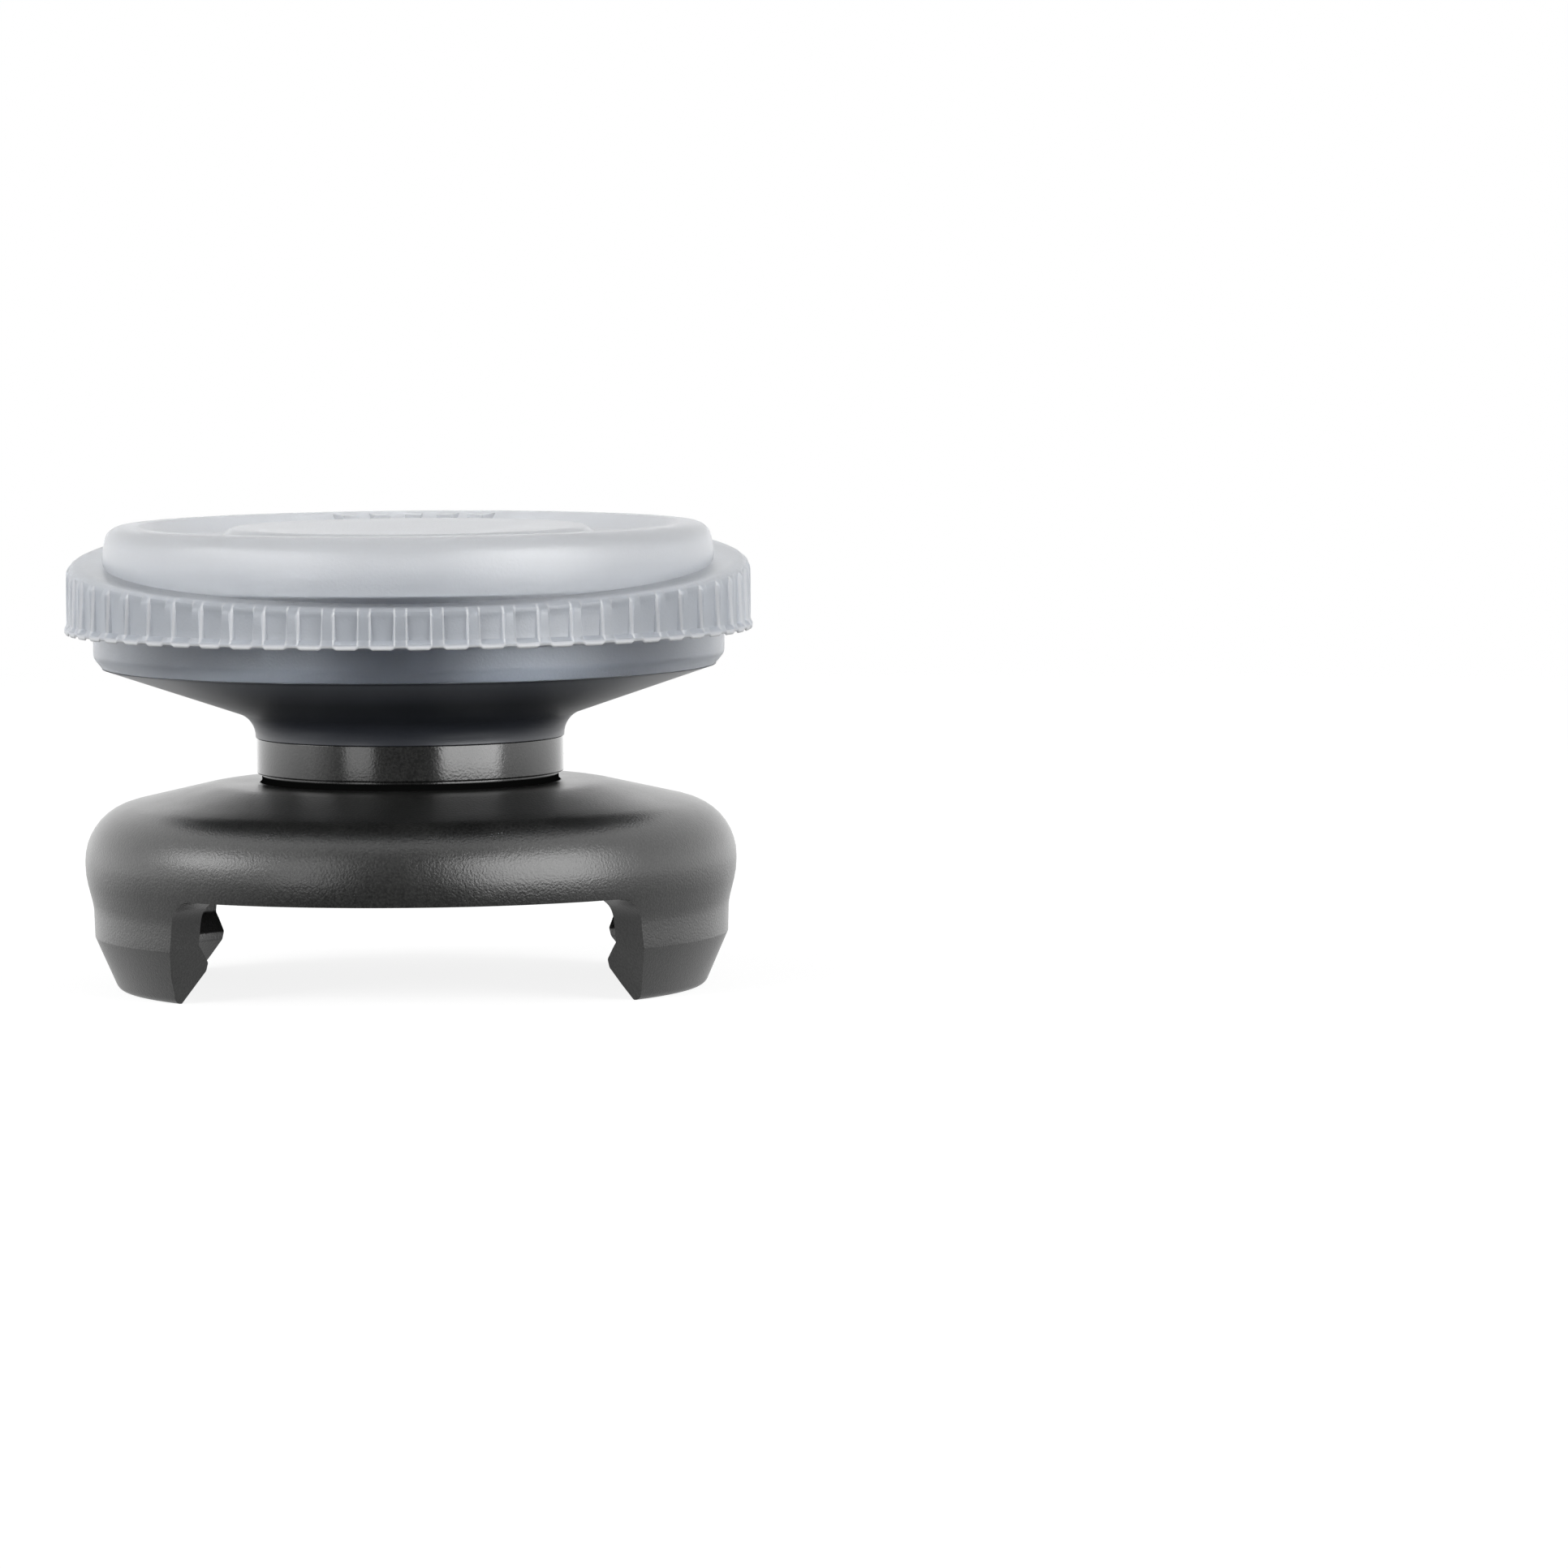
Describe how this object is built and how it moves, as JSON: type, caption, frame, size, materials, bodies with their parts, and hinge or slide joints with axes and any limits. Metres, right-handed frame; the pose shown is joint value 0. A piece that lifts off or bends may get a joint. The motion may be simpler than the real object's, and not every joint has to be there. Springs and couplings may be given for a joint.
{
  "type": "controller thumb grip",
  "caption": "Raised thumb grip that clips over a controller stick: soft dished pad with a ribbed flange on a short neck and a domed clip base.",
  "frame": {"origin": "centre of the grip at the underside of its two clips", "axes": "+Z along the neck from the clips to the pad; +X through a clip; -Y towards the low side of the ribbed flange"},
  "size_m": [0.0206, 0.0206, 0.0139],
  "materials": {
    "base_plastic": "fine satin texture",
    "core_plastic": "smooth dark",
    "cap_elastomer": "frosted translucent"
  },
  "bodies": {
    "root": {"clip_base": "base_plastic", "head_core": "core_plastic", "thumb_cap": "cap_elastomer"}
  },
  "joints": []
}
